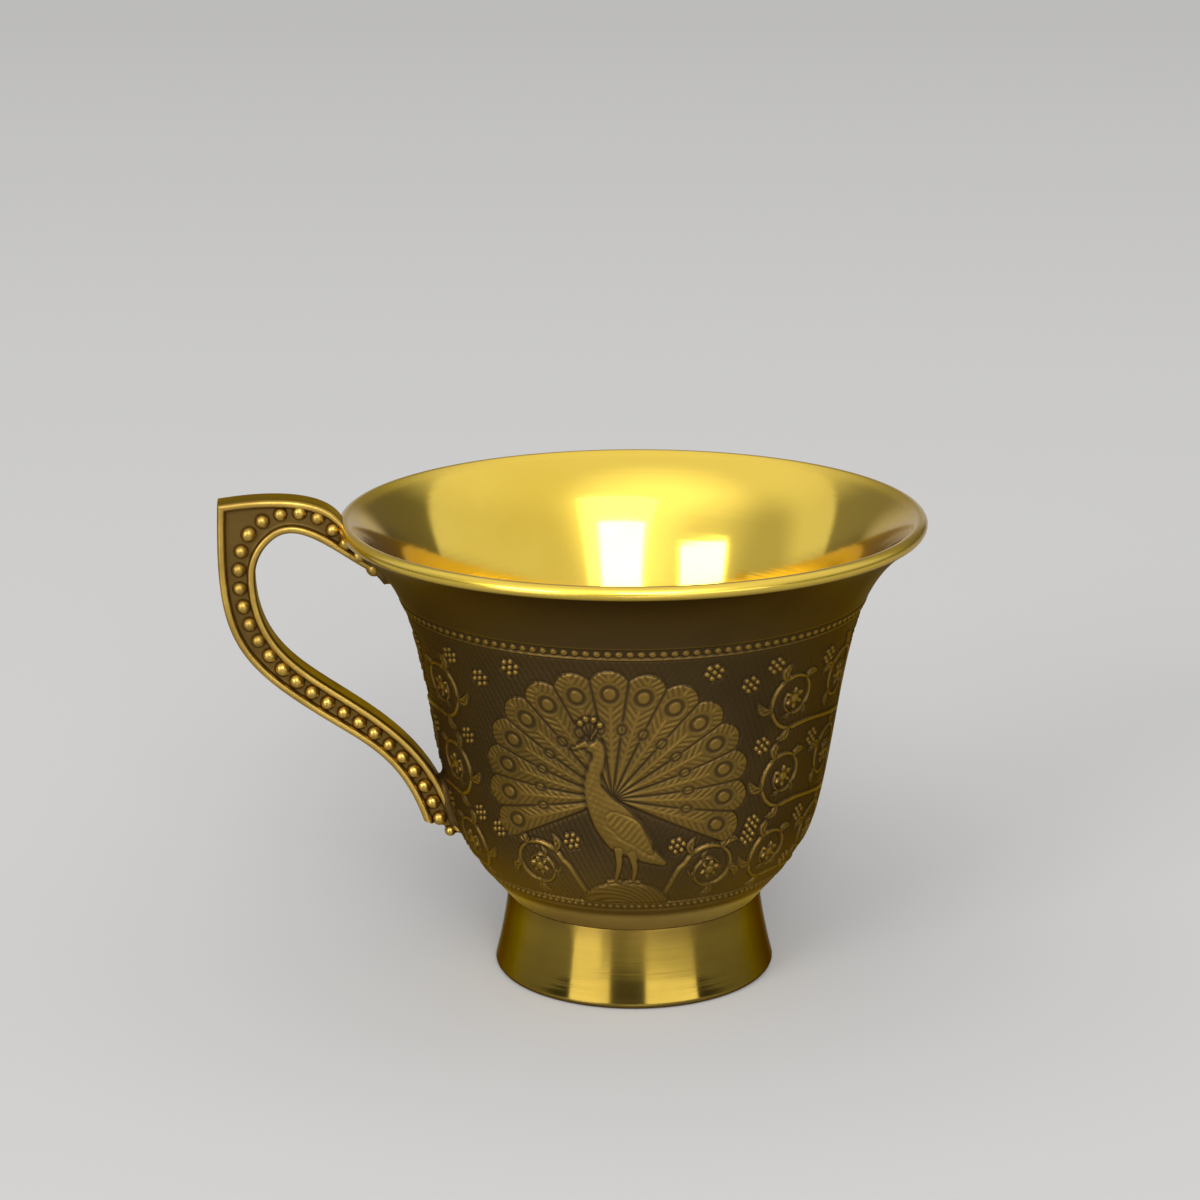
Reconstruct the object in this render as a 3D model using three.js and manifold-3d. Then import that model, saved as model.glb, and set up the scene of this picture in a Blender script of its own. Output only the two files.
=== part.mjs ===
// Brass coffee cup: a spun bowl with a flared lip, a soldered hollow foot, and a cast handle with a row
// of beads in a channel on each side. Millimetres, +Z up. The handle reaches towards -X, and the origin
// lies on the table, under the middle of the cup's outline.
import * as THREE from 'three';
import { mergeVertices } from 'three/addons/utils/BufferGeometryUtils.js';
import Module from 'manifold-3d';

// Bowl, spun from one sheet: flat seat, steep underside, leaning wall, flared lip that swells to a round edge
const SHEET = 1.2;
const LIP_THICKNESS = 2;
const LIP_SWELL = 3; // power by which the wall thickens from the belly to the lip
const RIM_RADIUS = 42;
const CUP_HEIGHT = 68;
const SEAT_RADIUS = 18.5;
const BELLY_RADIUS = 26.8;
const BELLY_RISE = 13.5; // belly above the seat
const UNDERSIDE_RISE = 50.6; // degrees above level where the underside leaves the seat
const WALL_LEAN = 13.4; // degrees from upright at the belly
const LIP_FLARE = 57.8; // degrees from upright at the lip
const UNDERSIDE_RUN = 5; // how far the underside holds its direction at the seat
const BELLY_RUN = 6; // and just below the belly
const WALL_RUN = 17.6; // how far the wall holds its lean above the belly
const LIP_RUN = 14; // and its flare below the lip

// Foot, spun from the same sheet: hollow, open below, with a hem to stand on and a flange to solder
const FOOT_HEIGHT = 11.5;
const FOOT_RADIUS = 20.5;
const FOOT_EDGE = 0.8; // rounding of the hem's outer edge
const FOOT_SWEEP = 6.2; // height at which the foot's two tangents cross
const FOOT_TAPER = 0.6; // how far the upper tangent leans out from the seat to that height
const HEM_WIDTH = 1.8; // flat ring that stands on the table
const FLANGE_RADIUS = 14; // inner edge of the soldered flange
const SOLDER_LEG = 1.1; // fillet of solder inside the flange

// Handle, cast in one: a ribbon with a raised rail along both edges of each side
const HANDLE_THICKNESS = 5;
const HANDLE_WIDTH = 4.5;
const HANDLE_REACH = 16.8; // thumb corner beyond the rim
const CORNER_DROP = 0.65; // thumb corner below the top of the arch
const EYE_RADIUS = 6.85; // round head of the finger loop
const EYE_OUT = 5; // centre of that head beyond the rim
const EYE_DROP = 7.5; // and below the rim
const EYE_RUN = 9; // how far the loop holds its direction below the head
const ROOT_DROP = 8; // lower edge of the handle's root below the rim
const ROOT_LEAN = 35; // degrees from upright where the row of beads starts beside the bowl
const ROOT_RUN = 5; // how far the row holds that direction
const ROOT_BEAD_RISE = 5; // first bead above the root's lower edge
const ARM_OUT = 1.05; // middle of the arm's inner edge beyond the rim
const ARM_DROP = 24.4; // and below the rim
const ARM_SLOPE = 35; // degrees below level at that point
const ARM_INNER_RUN = 7.5; // how far the inner edge holds that slope above the point
const ARM_OUTER_RUN = 15; // and the outer edge
const ARM_LOWER_RUN = 8; // and both edges below it
const SIDE_RUN = 18.7; // how far the outer side falls straight below the thumb corner
const SIDE_BULGE = 1; // and how far it leans out over that length
const TAIL_RISE = 11.8; // outer corner of the tail above the seat
const TAIL_DEPTH = 4.5; // and off the wall
const TAIL_TOE = 2; // how far the tail's end slopes down from that corner to the wall
const TAIL_JOINT = 7.6; // how far the tail lies against the wall above the corner
const TAIL_LEAN = 18; // degrees from upright along the tail
const TAIL_RUN = 10.3; // how far both edges hold that lean above the end
const RAIL_WIDTH = 1.1;
const CHANNEL_DEPTH = 0.9;
const BEAD_RADIUS = 1.1;
const BEAD_PITCH = 2.75;

// Brazing between the handle's two ends and the bowl, with clear air on both sides of each film
const BRAZE_FILM = 0.5;
const BRAZE_FLARE = 0.8; // how far a film spreads beyond the handle
const CLEARANCE = 0.3;

// Smoothness
const TURN_STEPS = 64;
const UNDERSIDE_STEPS = 5;
const WALL_STEPS = 12;
const LIP_STEPS = 6;
const FOOT_STEPS = 4;
const EDGE_STEPS = 56;
const BEAD_SIDES = 8;
const BEAD_RINGS = 6;

const wasm = await Module();
wasm.setup();

const point = (x, y) => new THREE.Vector2(x, y);
const radians = THREE.MathUtils.degToRad;

// Unit direction at an angle from level, counted upwards.
function heading(degrees) {
  return point(Math.cos(radians(degrees)), Math.sin(radians(degrees)));
}

// The point a given distance from another, along a direction.
function onward(from, direction, distance) {
  return from.clone().addScaledVector(direction, distance);
}

// Cubic curve that leaves one point and reaches another along given directions.
function sweep(from, leaving, leavingRun, to, reaching, reachingRun) {
  const afterStart = onward(from, leaving, leavingRun);
  const beforeEnd = onward(to, reaching, -reachingRun);
  return new THREE.CubicBezierCurve(from, afterStart, beforeEnd, to);
}

// Points along a curve, each moved to the right of the curve's direction, by a distance that may swell
// towards the curve's end.
function beside(curve, steps, distance, endDistance = distance) {
  return Array.from({ length: steps + 1 }, (_, i) => {
    const tangent = curve.getTangent(i / steps);
    const aside = THREE.MathUtils.lerp(distance, endDistance, (i / steps) ** LIP_SWELL);
    return onward(curve.getPoint(i / steps), point(tangent.y, -tangent.x), aside);
  });
}

// Points on an arc between two angles in degrees.
function arc(centre, radius, start, end, steps) {
  return Array.from({ length: steps + 1 }, (_, i) =>
    onward(centre, heading(start + ((end - start) * i) / steps), radius),
  );
}

// Radius of a profile, listed upwards, at a height; its first and last stretches carry on past its ends.
function radiusAt(profile, height) {
  const below = profile.filter((p) => p.y < height).length;
  const above = Math.min(Math.max(below, 1), profile.length - 1);
  const low = profile[above - 1];
  const high = profile[above];
  return low.x + ((high.x - low.x) * (height - low.y)) / (high.y - low.y);
}

// The stretch of a profile, listed upwards, between two heights.
function stretch(profile, bottom, top) {
  const inside = profile.filter((p) => p.y > bottom && p.y < top);
  return [point(radiusAt(profile, bottom), bottom), ...inside, point(radiusAt(profile, top), top)];
}

// A profile of radius and height turned about the upright axis.
function turned(profile) {
  return new THREE.LatheGeometry(profile, TURN_STEPS).rotateX(Math.PI / 2);
}

// An outline of radius and height given a thickness across the handle's plane.
function slab(outline, thickness) {
  const shape = new THREE.Shape(outline);
  const geometry = new THREE.ExtrudeGeometry(shape, { depth: thickness, bevelEnabled: false });
  return geometry.rotateX(Math.PI / 2).translate(0, thickness / 2, 0);
}

function solid(geometry) {
  geometry.deleteAttribute('normal');
  geometry.deleteAttribute('uv');
  const merged = mergeVertices(geometry);
  return new wasm.Manifold(
    new wasm.Mesh({
      numProp: 3,
      vertProperties: merged.attributes.position.array,
      triVerts: Uint32Array.from(merged.index.array),
    }),
  );
}

function geometryOf(body) {
  const mesh = body.getMesh();
  const geometry = new THREE.BufferGeometry();
  geometry.setAttribute('position', new THREE.BufferAttribute(mesh.vertProperties, mesh.numProp));
  geometry.setIndex(new THREE.BufferAttribute(mesh.triVerts, 1));
  geometry.computeVertexNormals();
  return geometry;
}

// Bowl
const seat = point(SEAT_RADIUS, FOOT_HEIGHT);
const belly = point(BELLY_RADIUS, FOOT_HEIGHT + BELLY_RISE);
const lipRadius = LIP_THICKNESS / 2;
const lipCentre = point(RIM_RADIUS - lipRadius, CUP_HEIGHT - lipRadius);
const lipSide = heading(-LIP_FLARE);
const wallRise = heading(90 - WALL_LEAN);
const flareRise = heading(90 - LIP_FLARE);
const underside = sweep(seat, heading(UNDERSIDE_RISE), UNDERSIDE_RUN, belly, wallRise, BELLY_RUN);
const wall = sweep(belly, wallRise, WALL_RUN, onward(lipCentre, lipSide, lipRadius), flareRise, LIP_RUN);

// The bowl's outer profile from seat to lip, moved outwards by a distance (inwards when negative), which may
// differ at the lip.
function bowlSide(distance, lipDistance = distance) {
  const wallPart = beside(wall, WALL_STEPS, distance, lipDistance);
  return [...beside(underside, UNDERSIDE_STEPS, distance).slice(0, -1), ...wallPart];
}

function makeBowl() {
  const floor = FOOT_HEIGHT + SHEET;
  const inside = bowlSide(-SHEET, -LIP_THICKNESS);
  const lip = arc(lipCentre, lipRadius, -LIP_FLARE, 180 - LIP_FLARE, LIP_STEPS).slice(1, -1);
  const lining = stretch(inside, floor, inside[inside.length - 1].y).reverse();
  return turned([point(0, FOOT_HEIGHT), ...bowlSide(0), ...lip, ...lining, point(0, floor)]);
}

// The bowl without its hollow, grown by a clearance: what the handle's ends are cut to.
function bowlEnvelope(clearance) {
  const lip = arc(lipCentre, lipRadius + clearance, -LIP_FLARE, 90, LIP_STEPS).slice(1);
  const side = [...bowlSide(clearance), ...lip];
  return solid(turned([point(0, side[0].y), ...side, point(0, CUP_HEIGHT + clearance)]));
}

// Foot
const footWaist = point(SEAT_RADIUS + FOOT_TAPER, FOOT_SWEEP);
const footFlare = new THREE.QuadraticBezierCurve(point(FOOT_RADIUS, FOOT_EDGE), footWaist, seat);
const hemEdge = point(FOOT_RADIUS - FOOT_EDGE, FOOT_EDGE);
const hemInner = FOOT_RADIUS - FOOT_EDGE - HEM_WIDTH;

function makeFoot() {
  const hem = arc(hemEdge, FOOT_EDGE, -90, 0, LIP_STEPS).slice(0, -1);
  const flangeBottom = FOOT_HEIGHT - SHEET;
  const inside = stretch(beside(footFlare, FOOT_STEPS, -SHEET), SHEET, flangeBottom).reverse();
  const flange = [point(FLANGE_RADIUS, FOOT_HEIGHT), point(FLANGE_RADIUS, flangeBottom)];
  const hemTop = point(hemInner, SHEET);
  const start = point(hemInner, 0);
  return turned([start, ...hem, ...beside(footFlare, FOOT_STEPS, 0), ...flange, ...inside, hemTop, start]);
}

function makeFootSolder() {
  const edge = FLANGE_RADIUS - CLEARANCE;
  const corner = point(edge, FOOT_HEIGHT);
  const low = point(edge, FOOT_HEIGHT - SOLDER_LEG);
  const inner = point(edge - SOLDER_LEG, FOOT_HEIGHT);
  return turned([inner, low, corner, inner]);
}

// Handle outline, drawn in its own plane as radius and height
const bowlWall = bowlSide(0);
const handleGap = BRAZE_FILM + 2 * CLEARANCE;
const beadStandoff = handleGap + BEAD_RADIUS / 2;
const eye = point(RIM_RADIUS + EYE_OUT, CUP_HEIGHT - EYE_DROP);
const archTop = eye.y + EYE_RADIUS + HANDLE_WIDTH;
const thumb = point(RIM_RADIUS + HANDLE_REACH, archTop - CORNER_DROP);
const armDown = heading(180 + ARM_SLOPE);
const armOutward = heading(ARM_SLOPE - 90);
const armInner = point(RIM_RADIUS + ARM_OUT, CUP_HEIGHT - ARM_DROP);
const armOuter = onward(armInner, armOutward, HANDLE_WIDTH);
const tailDown = heading(270 - TAIL_LEAN);
const tailHeight = FOOT_HEIGHT + TAIL_RISE;
const tailCorner = point(radiusAt(bowlWall, tailHeight) + TAIL_DEPTH, tailHeight);
const tailInward = heading(180 - TAIL_LEAN);
const toeHeight = tailHeight - TAIL_TOE;
const toe = point(radiusAt(bowlWall, toeHeight) - SHEET / 2, toeHeight);
const rootHeight = CUP_HEIGHT - ROOT_DROP;
const rootLow = point(radiusAt(bowlWall, rootHeight) - SHEET / 2, rootHeight);

// Arc round the loop's head at a distance from its edge, from an angle down to its outermost point
function headArc(distance, startAngle) {
  const radius = EYE_RADIUS + distance;
  return new THREE.EllipseCurve(eye.x, eye.y, radius, radius, startAngle, 0, true);
}

// Two curves at a distance from the inner edge: down the arm, then along the tail into the wall
function armCurves(distance) {
  const headEnd = onward(eye, heading(0), EYE_RADIUS + distance);
  const armMiddle = onward(armInner, armOutward, distance);
  const tail = onward(tailCorner, tailInward, HANDLE_WIDTH - distance);
  return [
    sweep(headEnd, heading(-90), EYE_RUN, armMiddle, armDown, ARM_INNER_RUN),
    sweep(armMiddle, armDown, ARM_LOWER_RUN, tail, tailDown, TAIL_RUN),
  ];
}

function joined(curves) {
  const path = new THREE.CurvePath();
  curves.forEach((curve) => path.add(curve));
  return path;
}

// Inner edge: from the root along a tangent to the loop's head, round it, and down to the tail
function innerEdge() {
  const toEye = eye.clone().sub(rootLow);
  const tangentAngle = toEye.angle() + Math.asin(EYE_RADIUS / toEye.length()) + Math.PI / 2;
  const head = headArc(0, tangentAngle);
  return joined([new THREE.LineCurve(rootLow, head.getPoint(0)), head, ...armCurves(0)]);
}

// Line of the beads: up beside the bowl's flare, over the loop's head and down the middle of the ribbon
function beadLine() {
  const height = rootHeight + ROOT_BEAD_RISE;
  const start = point(radiusAt(bowlWall, height) + beadStandoff, height);
  const head = headArc(HANDLE_WIDTH / 2, Math.PI / 2);
  const root = sweep(start, heading(90 - ROOT_LEAN), ROOT_RUN, head.getPoint(0), heading(0), ROOT_RUN);
  return joined([root, head, ...armCurves(HANDLE_WIDTH / 2)]);
}

// Top edge: from inside the lip over the arch to the thumb corner
function topEdge() {
  const archStart = point(RIM_RADIUS, archTop);
  const archMiddle = point((RIM_RADIUS + thumb.x) / 2, archTop + SHEET / 2);
  return new THREE.CubicBezierCurve(lipCentre, archStart, archMiddle, thumb);
}

// Outer side: from the thumb corner down the back of the arm to the tail's corner
function sideEdge() {
  const sideDown = point(SIDE_BULGE, -SIDE_RUN).normalize();
  return joined([
    sweep(thumb, sideDown, SIDE_RUN, armOuter, armDown, ARM_OUTER_RUN),
    sweep(armOuter, armDown, ARM_LOWER_RUN, tailCorner, tailDown, TAIL_RUN),
  ]);
}

// Points along a path at equal steps, moved to the right of the way it runs.
function spacedBeside(path, steps, distance) {
  return Array.from({ length: steps + 1 }, (_, i) => {
    const tangent = path.getTangentAt(i / steps);
    return onward(path.getPointAt(i / steps), point(tangent.y, -tangent.x), distance);
  });
}

// A rail: the strip between an edge and the same edge moved into the ribbon.
function rail(path, steps, inwards) {
  const strip = [...spacedBeside(path, steps, 0), ...spacedBeside(path, steps, inwards).reverse()];
  return solid(slab(strip, HANDLE_THICKNESS));
}

// Bead centres at an even pitch along their line, as far as there is room beside the bowl
function beadCentres() {
  const line = beadLine();
  const places = line.getSpacedPoints(Math.round(line.getLength() / BEAD_PITCH));
  return places.filter((p) => p.y > CUP_HEIGHT || p.x - radiusAt(bowlWall, p.y) >= beadStandoff);
}

function makeHandle() {
  const inner = innerEdge();
  const top = topEdge();
  const side = sideEdge();
  const outline = [
    ...spacedBeside(top, EDGE_STEPS / 4, 0),
    ...spacedBeside(side, EDGE_STEPS, 0).slice(1),
    toe,
    ...spacedBeside(inner, EDGE_STEPS, 0).reverse(),
  ];
  const web = HANDLE_THICKNESS - 2 * CHANNEL_DEPTH;
  let body = solid(slab(outline, web));
  body = body.add(rail(top, EDGE_STEPS / 4, RAIL_WIDTH));
  body = body.add(rail(side, EDGE_STEPS, RAIL_WIDTH));
  body = body.add(rail(inner, EDGE_STEPS, -RAIL_WIDTH));
  for (const centre of beadCentres()) {
    for (const face of [-web / 2, web / 2]) {
      const bead = new THREE.SphereGeometry(BEAD_RADIUS, BEAD_SIDES, BEAD_RINGS);
      body = body.add(solid(bead.translate(centre.x, face, centre.y)));
    }
  }
  return geometryOf(body.subtract(bowlEnvelope(handleGap)));
}

// A film of braze on the bowl's side between two heights: a patch whose ends are half ellipses.
function makeBraze(bottom, top) {
  const half = HANDLE_THICKNESS / 2 + BRAZE_FLARE;
  const end = (top - bottom) / 3;
  const patch = new THREE.Shape();
  patch.absellipse(0, top - end, half, end, 0, Math.PI);
  patch.absellipse(0, bottom + end, half, end, Math.PI, 2 * Math.PI);
  const reach = new THREE.ExtrudeGeometry(patch, { depth: RIM_RADIUS + SHEET, bevelEnabled: false });
  const column = solid(reach.rotateX(Math.PI / 2).rotateZ(Math.PI / 2));
  const shell = bowlEnvelope(CLEARANCE + BRAZE_FILM).subtract(bowlEnvelope(CLEARANCE));
  return geometryOf(column.intersect(shell));
}

// Finishes of the brass
const ETCHED = { color: 0x8a7434, roughness: 0.45, metalness: 1 };
const POLISHED = { color: 0xc9a23a, roughness: 0.15, metalness: 1 };
const CAST = { color: 0xb28f3c, roughness: 0.35, metalness: 1 };
const BRAZED = { color: 0xa8843c, roughness: 0.5, metalness: 1 };
const SOLDERED = { color: 0xa8925a, roughness: 0.5, metalness: 1 };

function piece(name, geometry, finish) {
  const mesh = new THREE.Mesh(geometry, new THREE.MeshStandardMaterial(finish));
  mesh.name = name;
  return mesh;
}

const cup = new THREE.Group();
cup.add(piece('bowl', makeBowl(), ETCHED));
cup.add(piece('foot', makeFoot(), POLISHED));
cup.add(piece('foot_solder', makeFootSolder(), SOLDERED));

const rootBraze = makeBraze(rootHeight - BRAZE_FLARE, CUP_HEIGHT - LIP_THICKNESS);
const tailBraze = makeBraze(toeHeight - BRAZE_FLARE, tailHeight + TAIL_JOINT + BRAZE_FLARE);
const handleSide = new THREE.Group();
handleSide.rotation.z = Math.PI;
handleSide.add(piece('handle', makeHandle(), CAST));
handleSide.add(piece('handle_top_braze', rootBraze, BRAZED));
handleSide.add(piece('handle_tail_braze', tailBraze, BRAZED));
cup.add(handleSide);

const outline = new THREE.Box3().setFromObject(cup);
cup.position.x = -(outline.min.x + outline.max.x) / 2;

export default cup;
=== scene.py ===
# %% [markdown]
# A brass coffee cup has three parts: a spun bowl with an etched outside, a spun foot, and a cast handle with
# a row of beads down each side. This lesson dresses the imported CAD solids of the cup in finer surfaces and
# finishes. Every surface is worked out with numpy in millimetres round the bowl's own axis, and moved into
# the cup's frame at the last moment, so the sums stay as simple as a turner's drawing.

# %% Load the frame
import math

import bpy
import numpy as np
from mathutils import Matrix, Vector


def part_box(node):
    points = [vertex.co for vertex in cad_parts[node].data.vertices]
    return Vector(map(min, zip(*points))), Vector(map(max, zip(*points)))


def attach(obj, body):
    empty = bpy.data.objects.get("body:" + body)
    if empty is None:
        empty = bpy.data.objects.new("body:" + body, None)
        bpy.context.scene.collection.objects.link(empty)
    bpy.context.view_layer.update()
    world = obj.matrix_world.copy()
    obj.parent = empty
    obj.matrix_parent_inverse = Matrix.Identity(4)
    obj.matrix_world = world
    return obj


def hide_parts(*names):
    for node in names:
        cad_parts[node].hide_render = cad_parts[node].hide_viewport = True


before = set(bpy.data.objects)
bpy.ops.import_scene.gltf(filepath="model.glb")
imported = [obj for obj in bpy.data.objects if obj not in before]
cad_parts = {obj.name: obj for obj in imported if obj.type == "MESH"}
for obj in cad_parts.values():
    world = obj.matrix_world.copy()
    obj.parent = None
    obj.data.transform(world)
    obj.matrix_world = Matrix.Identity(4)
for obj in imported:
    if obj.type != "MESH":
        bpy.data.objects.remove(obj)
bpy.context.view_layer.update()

MM = 0.001
bowl_low, bowl_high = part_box("bowl")
AXIS_X = (bowl_low.x + bowl_high.x) / 2 / MM
print("cup frame", sorted(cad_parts), "bowl axis at x", round(AXIS_X, 3), "mm")

# %% [markdown]
# The camera repeats the photograph's view: a long lens, a little above the cup, with the handle on the left and
# turned a few degrees towards the viewer. Matching the ellipses of the rim and the foot gave its place, because
# two circles of known height fix the distance and the tilt. It is written round the bowl's axis, and then
# carried about that axis by the cup's turn.

# %% Camera
CAMERA_AT = (-4.74, -420.0, 170.7)
CUP_TURN = math.radians(5.5)
CAMERA_TILT = 0.2689
CAMERA_ROLL = -0.0062
CAMERA_LENS = 90.76
CAMERA_SENSOR = 36
NEAREST = 0.01


def linked(name, data):
    """A new object with the given data, linked into the scene."""
    made = bpy.data.objects.new(name, data)
    bpy.context.scene.collection.objects.link(made)
    return made


view = bpy.data.cameras.new("cup_view")
view.lens = CAMERA_LENS
view.sensor_width = CAMERA_SENSOR
view.sensor_fit = "HORIZONTAL"
view.clip_start = NEAREST
viewer = linked("cup_view", view)
aim = Matrix.Rotation(math.pi / 2 - CAMERA_TILT, 4, "X") @ Matrix.Rotation(CAMERA_ROLL, 4, "Z")
carried = Matrix.Translation((AXIS_X * MM, 0, 0)) @ Matrix.Rotation(-CUP_TURN, 4, "Z")
viewer.matrix_world = carried @ Matrix.Translation([v * MM for v in CAMERA_AT]) @ aim
bpy.context.scene.camera = viewer
print("camera at", [round(v, 3) for v in viewer.matrix_world.translation], "m, lens", round(view.lens, 1))

# %% [markdown]
# Shader maths reads best as plain sums. This small class wraps a socket, and each operator on it adds the
# Math node that does the sum. The node method adds any other node: its settings first, then its sockets.

# %% Socket sums
class Tone:
    """One output socket of a node tree; sums of tones add Math nodes to that tree."""

    def __init__(self, tree, output=None):
        self.tree = tree
        self.output = output

    def node(self, kind, settings, sockets, output=0):
        """Adds a node, sets its settings, fills its sockets with values or links, and gives one output."""
        made = self.tree.nodes.new(kind)
        for key, value in settings.items():
            setattr(made, key, value)
        for key, value in sockets.items():
            if isinstance(value, Tone):
                self.tree.links.new(value.output, made.inputs[key])
            else:
                made.inputs[key].default_value = value
        return Tone(self.tree, made.outputs[output])

    def sum(self, operation, first, second):
        """Adds a Math node for two tones or numbers."""
        return self.node("ShaderNodeMath", {"operation": operation}, {0: first, 1: second})

    def __add__(self, other):
        return self.sum("ADD", self, other)

    def __sub__(self, other):
        return self.sum("SUBTRACT", self, other)

    def __rsub__(self, other):
        return self.sum("SUBTRACT", other, self)

    def __mul__(self, other):
        return self.sum("MULTIPLY", self, other)

    def __truediv__(self, other):
        return self.sum("DIVIDE", self, other)

    __radd__ = __add__
    __rmul__ = __mul__

    def between(self, low, high):
        """0 below low, 1 above high, smooth between them."""
        sockets = {"Value": self, "From Min": low, "From Max": high}
        return self.node("ShaderNodeMapRange", {"interpolation_type": "SMOOTHSTEP"}, sockets)

    def mix(self, first, second):
        """A colour between two colours, this tone being the share of the second."""
        pair = {0: self, 6: first, 7: second}
        return self.node("ShaderNodeMix", {"data_type": "RGBA"}, pair, 2)


def feed(node, tone, socket):
    """Links a tone to a socket of a node."""
    tone.tree.links.new(tone.output, node.inputs[socket])


print("tones ready: sums, products, quotients, eased limits and mixes of colours")

# %% [markdown]
# The studio starts with a pale floor. It has a polish that only the metal sees, which carries bright bands up the
# foot. The viewer sees it matte, so that no lamp glares off it from any side.

# %% Floor
FLOOR_HALF = 6.0
FLOOR_COLOUR = (0.55, 0.545, 0.54, 1)
FLOOR_ROUGHNESS = 0.22

floor_mesh = bpy.data.meshes.new("floor")
corners = np.array([[-1, -1, 0], [1, -1, 0], [1, 1, 0], [-1, 1, 0]]) * FLOOR_HALF
floor_mesh.from_pydata(corners.tolist(), [], [[0, 1, 2, 3]])
floor = linked("floor", floor_mesh)

floor_finish = bpy.data.materials.new("pale_floor")
floor_finish.use_nodes = True
floor_nodes = floor_finish.node_tree.nodes
floor_shader = floor_nodes["Principled BSDF"]
floor_shader.inputs["Base Color"].default_value = FLOOR_COLOUR
floor_shader.inputs["Roughness"].default_value = FLOOR_ROUGHNESS
polish = Tone(floor_finish.node_tree, floor_shader.outputs["BSDF"])
matte = polish.node("ShaderNodeBsdfDiffuse", {}, {"Color": FLOOR_COLOUR})
seen_straight = polish.node("ShaderNodeLightPath", {}, {}, "Is Camera Ray")
floor_skin = polish.node("ShaderNodeMixShader", {}, {0: seen_straight, 1: polish, 2: matte})
feed(floor_nodes["Material Output"], floor_skin, "Surface")
floor_mesh.materials.append(floor_finish)
print("floor", 2 * FLOOR_HALF, "m wide with", len(floor_nodes), "nodes")

# %% [markdown]
# Polished brass shows whatever stands round it, so the soft panels on the viewer's side matter more for their
# reflections than for their light. A window with a brighter middle and a panel to its left make the white patches
# inside the bowl, and two low panels make the upright bands on the foot.

# %% Lamps
def soft_panel(name, bearing, away, height, size, power):
    """A rectangular lamp that faces the cup, at degrees to the right of the viewer; metres and watts."""
    lamp = bpy.data.lights.new(name, "AREA")
    lamp.shape = "RECTANGLE"
    lamp.size, lamp.size_y = size
    lamp.energy = power
    angle = math.radians(bearing) - CUP_TURN
    place = Matrix.Translation((away * math.sin(angle), -away * math.cos(angle), height))
    facing = (-place.translation).to_track_quat("-Z", "Y")
    linked(name, lamp).matrix_world = place @ facing.to_matrix().to_4x4()


soft_panel("left_panel", -41, 2.75, 0.91, (1.25, 0.975), 32)
soft_panel("left_low_panel", -37, 2.75, 0.225, (1.65, 0.425), 6.1)
soft_panel("right_low_panel", 30, 2.75, 0.225, (2.15, 0.425), 8.1)
soft_panel("window_panel", 9, 2.725, 2.0, (2.0, 2.35), 18)
soft_panel("window_middle", 6, 2.875, 1.475, (1.25, 1.3), 38.4)

# %% [markdown]
# The light from all round is bright overhead, to the right and round the window, dimmer to the left, and dark behind
# the cup and near the floor: those dark parts keep metal from looking like plastic. A low pale backdrop far behind
# lights the edges of the handle.

# %% Surrounding light
RIGHT_AIR, LEFT_AIR, OVERHEAD_AIR = (0.85, 0.85, 0.85, 1), (0.56, 0.56, 0.56, 1), (1, 1, 1, 1)
BACK_LEFT_AIR, BACK_RIGHT_AIR = (0.27, 0.265, 0.28, 1), (0.17, 0.167, 0.17, 1)
LOW_AIR, BACKDROP_AIR = (0.083, 0.083, 0.09, 1), (0.6, 0.6, 0.6, 1)
AIR_STRENGTH, GLOW_STRENGTH = 0.865, 0.7

world = bpy.data.worlds.new("studio")
bpy.context.scene.world = world
world.use_nodes = True
way = Tone(world.node_tree).node("ShaderNodeTexCoord", {}, {}, "Generated")
rightward, backward, upward = (way.node("ShaderNodeSeparateXYZ", {}, {"Vector": way}, axis) for axis in "XYZ")
overhead = upward.between(0.5, 0.85)
leftward = (1 - rightward.between(-0.6, -0.3)) * (1 - backward.between(0.0, 0.3))
behind = (backward + 0.1 * rightward).between(0.45, 0.5) * (1 - overhead)
backdrop = backward.between(0.82, 0.92) * (1 - upward.between(0.15, 0.4))
glow = (0.574 * upward - 0.3 * rightward - 0.762 * backward).between(0.62, 1.0)
sky = overhead.mix(leftward.mix(RIGHT_AIR, LEFT_AIR), OVERHEAD_AIR)
sky = behind.mix(sky, rightward.between(-0.3, 0.3).mix(BACK_LEFT_AIR, BACK_RIGHT_AIR))
sky = backdrop.mix(upward.between(0.08, 0.3).mix(LOW_AIR, sky), BACKDROP_AIR)
surround = world.node_tree.nodes["Background"]
feed(surround, sky, "Color")
feed(surround, AIR_STRENGTH + GLOW_STRENGTH * glow, "Strength")
bpy.context.scene.view_settings.view_transform = "Standard"
print("surrounding light of", len(world.node_tree.nodes), "nodes")

# %% [markdown]
# Most of the cup is turned, so one helper makes most meshes: it takes a grid of points whose columns run round
# a closed ring, joins neighbours into four-sided faces, and closes the first and last ring with a flat face.
# A body's volume, worked out from the same faces, tells whether they point outwards, and turns them if not.

# %% Closed skins from grids of points
def grid_faces(index):
    """Four-sided faces between neighbouring rows and columns of a grid of point numbers."""
    return np.stack([index[:-1, :-1], index[:-1, 1:], index[1:, 1:], index[1:, :-1]], -1).reshape(-1, 4)


def volume(points, faces):
    """Sum over the faces of a tetrahedron's volume from the origin, a face being cut into triangles."""
    total = 0.0
    for second in range(1, faces.shape[1] - 1):
        a, b, c = points[faces[:, 0]], points[faces[:, second]], points[faces[:, second + 1]]
        total += np.einsum("ij,ij->i", a, np.cross(b, c)).sum() / 6
    return total


def new_piece(name, points, faces):
    """A smooth piece of the cup from points in mm round the bowl's axis."""
    mesh = bpy.data.meshes.new(name)
    mesh.from_pydata(((points + (AXIS_X, 0, 0)) * MM).tolist(), [], faces)
    mesh.shade_smooth()
    piece = linked(name, mesh)
    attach(piece, "root")
    return piece


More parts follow.
